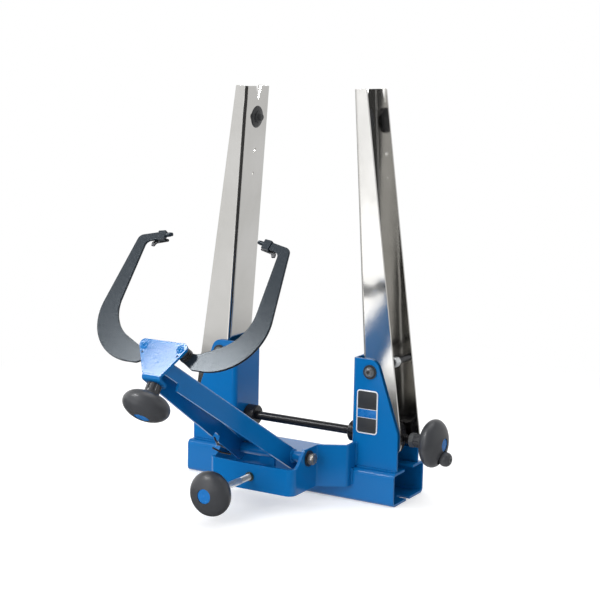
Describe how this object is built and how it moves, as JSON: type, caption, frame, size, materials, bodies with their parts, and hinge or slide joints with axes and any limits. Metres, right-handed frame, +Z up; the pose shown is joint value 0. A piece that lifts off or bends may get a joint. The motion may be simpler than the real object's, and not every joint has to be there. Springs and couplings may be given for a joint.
{
  "type": "bicycle wheel truing stand",
  "caption": "Bench stand that holds a bicycle wheel by its axle between two leaning uprights spread by a crank screw, with a hinged arm and rim calipers.",
  "frame": {"origin": "middle of the underside of the base tube, on the bench", "axes": "+Z up; +X toward the crank knob, along the base tube and the spindle; +Y away from the caliper arm"},
  "size_m": [0.3733, 0.4247, 0.5245],
  "materials": {
    "blue_paint": "gloss powder coat",
    "nickel_plate": "satin nickel plating",
    "grey_paint": "speckled grey powder coat",
    "black_plastic": "satin moulded",
    "black_steel": "gloss black oxide",
    "dark_steel": "dark zinc",
    "zinc_steel": "bright zinc plating",
    "blue_insert": "gloss"
  },
  "bodies": {
    "base": {"base_tube": "blue_paint", "tower_left": "blue_paint", "tower_right": "blue_paint", "pivot_bolts": "zinc_steel", "pivot_washers": "zinc_steel", "arm_bracket": "blue_paint", "arm_pivot_bolt": "zinc_steel", "arm_pivot_washers": "dark_steel", "arm_pivot_nut": "zinc_steel", "radial_bush": "black_plastic", "spring_foot": "black_steel"},
    "upright_left": {"upright_left": "nickel_plate", "axle_adapter_left": "black_plastic", "cross_rod_left": "dark_steel", "cross_nut_left": "zinc_steel"},
    "upright_right": {"upright_right": "nickel_plate", "axle_adapter_right": "black_plastic", "cross_rod_right": "dark_steel", "cross_nut_right": "zinc_steel"},
    "spindle": {"spindle_rod": "black_steel", "spindle_collars": "black_steel", "collar_screws": "dark_steel", "jam_nut": "zinc_steel", "crank_knob": "black_plastic", "crank_knob_insert": "blue_insert", "grip_pin": "zinc_steel"},
    "crank_grip": {"crank_grip": "black_plastic"},
    "nut_left": {"spindle_nut_left": "black_steel"},
    "nut_right": {"spindle_nut_right": "black_steel"},
    "arm": {"caliper_arm": "blue_paint", "pivot_tube": "blue_paint", "arm_lever": "blue_paint", "return_spring": "black_steel", "head_plate": "blue_paint", "head_screws": "blue_paint", "head_nuts": "zinc_steel", "screw_washer": "black_plastic"},
    "caliper_left": {"caliper_left": "grey_paint", "caliper_washers_left": "black_plastic", "feeler_block_left": "grey_paint", "feeler_strip_left": "dark_steel"},
    "caliper_right": {"caliper_right": "grey_paint", "caliper_washers_right": "black_plastic", "feeler_block_right": "grey_paint", "feeler_strip_right": "dark_steel"},
    "slider": {"caliper_slider": "dark_steel"},
    "caliper_screw": {"caliper_screw": "zinc_steel", "caliper_knob": "black_plastic", "caliper_knob_insert": "blue_insert"},
    "radial_tip": {"radial_tip": "zinc_steel"},
    "radial_screw": {"radial_screw": "zinc_steel", "radial_knob": "black_plastic", "radial_knob_insert": "blue_insert"}
  },
  "joints": [
    {"name": "crank_turn", "type": "hinge", "parent": "base", "child": "spindle", "pos_m": [0, 0, 0.0803], "axis": [1, 0, 0], "range_deg": [-1290, 900]},
    {"name": "grip_spin", "type": "hinge", "parent": "spindle", "child": "crank_grip", "pos_m": [0.2, 0, 0.0619], "axis": [1, 0, 0], "continuous": true},
    {"name": "nut_right_slide", "type": "slide", "parent": "base", "child": "nut_right", "axis": [1, 0, 0], "range_m": [-0.0076, 0.0109]},
    {"name": "nut_left_slide", "type": "slide", "parent": "base", "child": "nut_left", "axis": [1, 0, 0], "range_m": [-0.0109, 0.0076]},
    {"name": "upright_right_swing", "type": "hinge", "parent": "base", "child": "upright_right", "pos_m": [0.11375, 0, 0.169], "axis": [0, 1, 0], "range_deg": [-7.1, 5]},
    {"name": "upright_left_swing", "type": "hinge", "parent": "base", "child": "upright_left", "pos_m": [-0.11375, 0, 0.169], "axis": [0, 1, 0], "range_deg": [-5, 7.1]},
    {"name": "radial_turn", "type": "hinge", "parent": "radial_tip", "child": "radial_screw", "pos_m": [0, -0.1985, 0.0385], "axis": [0, 1, 0], "range_deg": [-2714, 1233]},
    {"name": "radial_feed", "type": "slide", "parent": "base", "child": "radial_tip", "axis": [0, 1, 0], "range_m": [-0.0095, 0.0044]},
    {"name": "arm_swing", "type": "hinge", "parent": "base", "child": "arm", "pos_m": [0, -0.095, 0.0624], "axis": [1, 0, 0], "range_deg": [-22.2, 10.2]},
    {"name": "caliper_turn", "type": "hinge", "parent": "arm", "child": "caliper_screw", "pos_m": [0, -0.31571, 0.22729], "axis": [0, 0.6018, 0.7986], "range_deg": [-145, 2030]},
    {"name": "slider_slide", "type": "slide", "parent": "arm", "child": "slider", "axis": [0, 0.6018, 0.7986], "range_m": [-0.0057, 0.00045]},
    {"name": "caliper_right_swing", "type": "hinge", "parent": "arm", "child": "caliper_right", "pos_m": [0.0245, -0.3189, 0.2297], "axis": [0, -0.7986, 0.6018], "range_deg": [-1.5, 20.1]},
    {"name": "caliper_left_swing", "type": "hinge", "parent": "arm", "child": "caliper_left", "pos_m": [-0.0245, -0.3189, 0.2297], "axis": [0, -0.7986, 0.6018], "range_deg": [-20.1, 1.5]}
  ],
  "couplings": [
    {"joint": "nut_right_slide", "follows": "crank_turn", "m_per_rad": -0.00047746},
    {"joint": "nut_left_slide", "follows": "crank_turn", "m_per_rad": 0.00047746},
    {"joint": "upright_right_swing", "follows": "crank_turn", "ratio": 0.005358},
    {"joint": "upright_left_swing", "follows": "crank_turn", "ratio": -0.005358},
    {"joint": "radial_feed", "follows": "radial_turn", "m_per_rad": 0.00019894},
    {"joint": "arm_swing", "follows": "radial_turn", "ratio": 0.0081069},
    {"joint": "slider_slide", "follows": "caliper_turn", "m_per_rad": -0.00015915},
    {"joint": "caliper_right_swing", "follows": "caliper_turn", "ratio": 0.0098547},
    {"joint": "caliper_left_swing", "follows": "caliper_turn", "ratio": -0.0098547}
  ]
}
